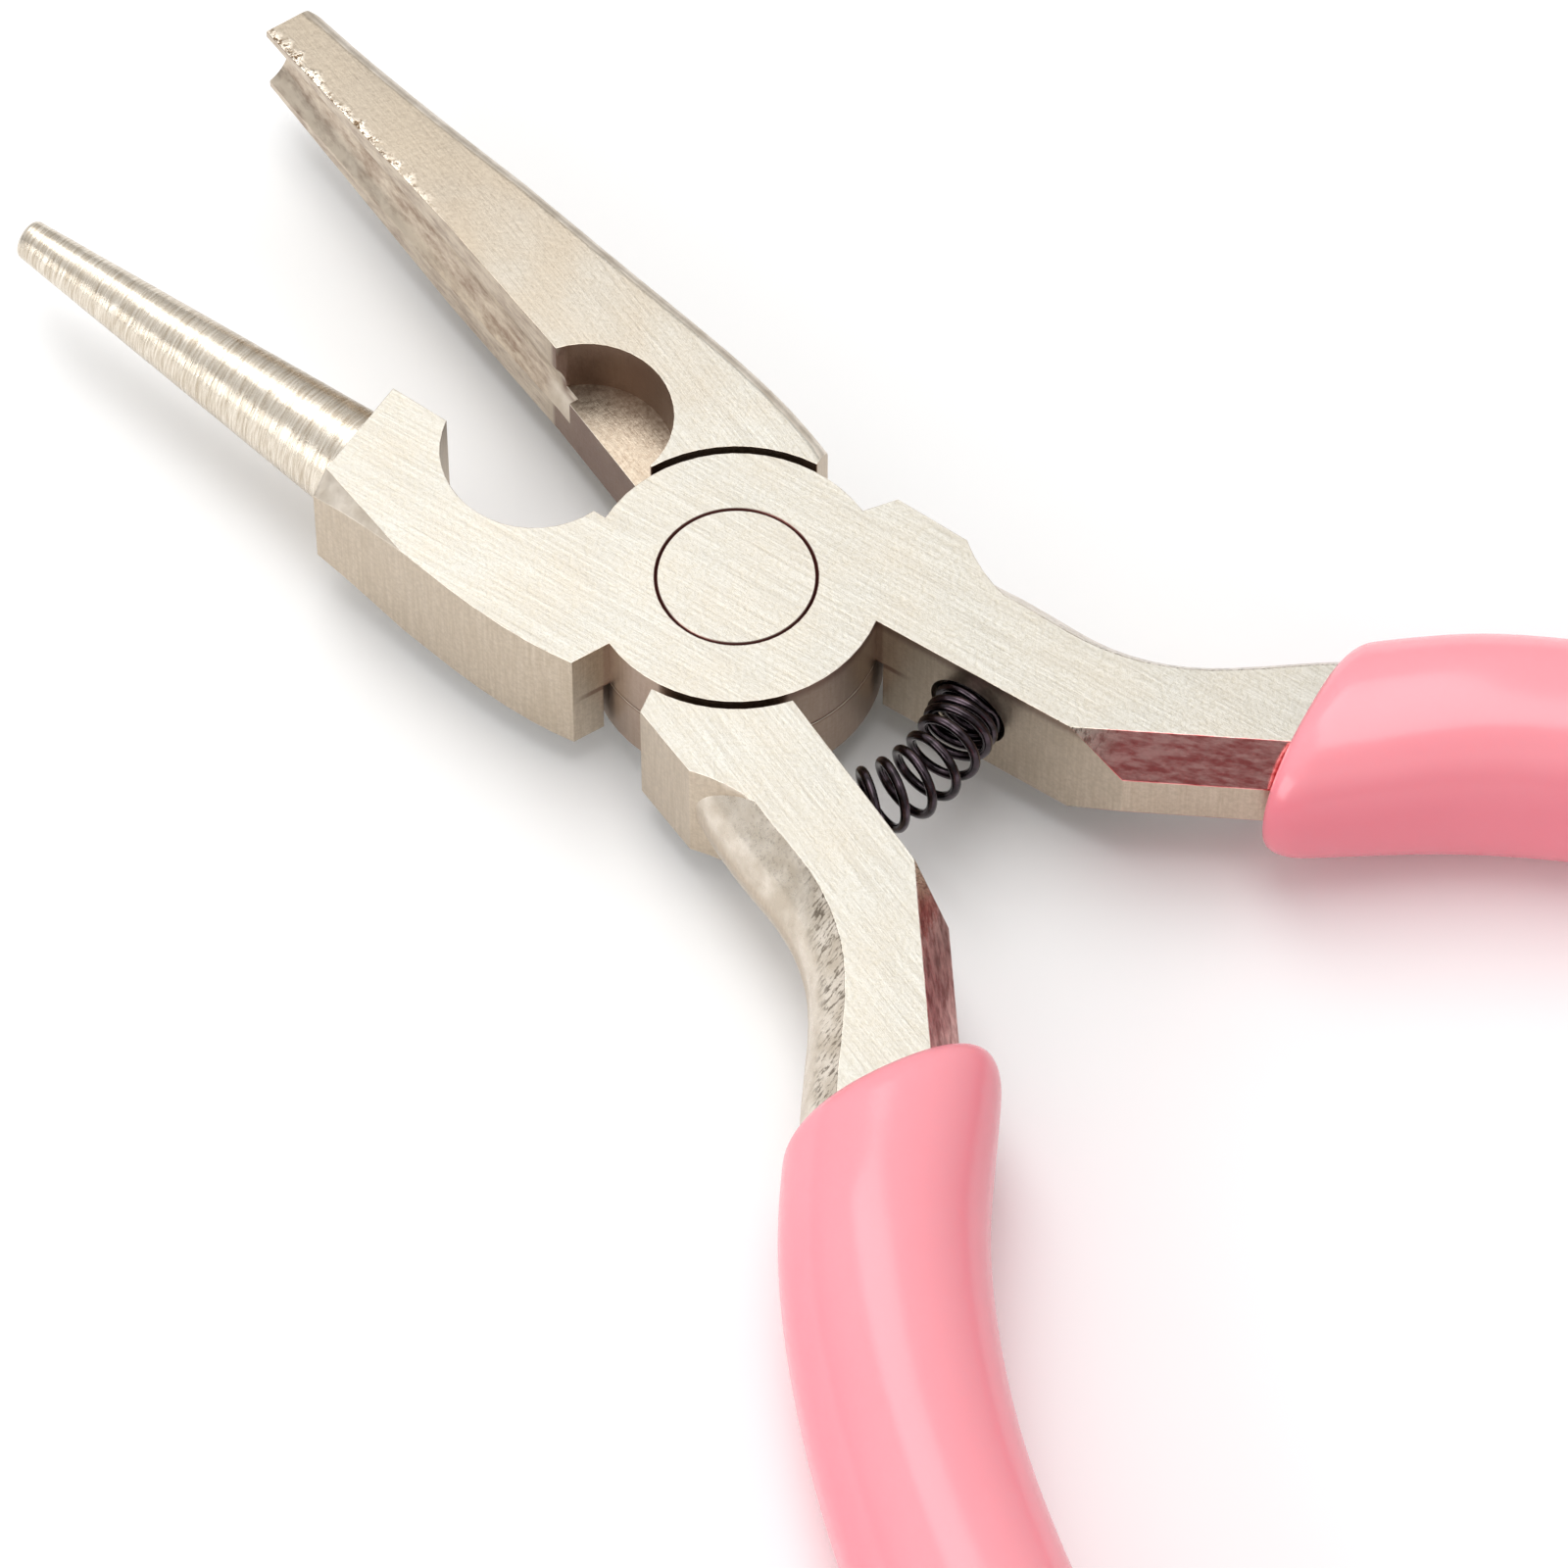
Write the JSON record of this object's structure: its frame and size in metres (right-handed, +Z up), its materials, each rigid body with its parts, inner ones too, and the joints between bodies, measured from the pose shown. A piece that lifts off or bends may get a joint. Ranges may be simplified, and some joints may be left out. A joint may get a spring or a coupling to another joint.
{
  "type": "round nose pliers",
  "caption": "Spring-opened wire-looping pliers with one round conical jaw, one grooved jaw, a flush riveted lap joint and moulded sleeve grips.",
  "frame": {"origin": "on the pivot axis, at the flat underside of the lap joint", "axes": "+Y forward along the jaws' midline, +X to the right, +Z up along the pivot axis"},
  "size_m": [0.0849, 0.1241, 0.0116],
  "materials": {
    "ground_steel": "satin, plated and ground",
    "spring_wire": "oil-blackened wire",
    "pink_pvc": "glossy soft vinyl"
  },
  "bodies": {
    "round_jaw_side": {"round_jaw_lever": "ground_steel", "pivot_rivet": "ground_steel", "right_grip": "pink_pvc", "return_spring": "spring_wire"},
    "concave_jaw_side": {"concave_jaw_lever": "ground_steel", "left_grip": "pink_pvc"}
  },
  "joints": [
    {"name": "pivot", "type": "hinge", "parent": "round_jaw_side", "child": "concave_jaw_side", "pos_m": [0, 0, 0], "axis": [0, 0, 1], "range_deg": [-6, 22.4], "stiffness_Nm_per_rad": 0.33, "deforming": ["return_spring"]}
  ]
}
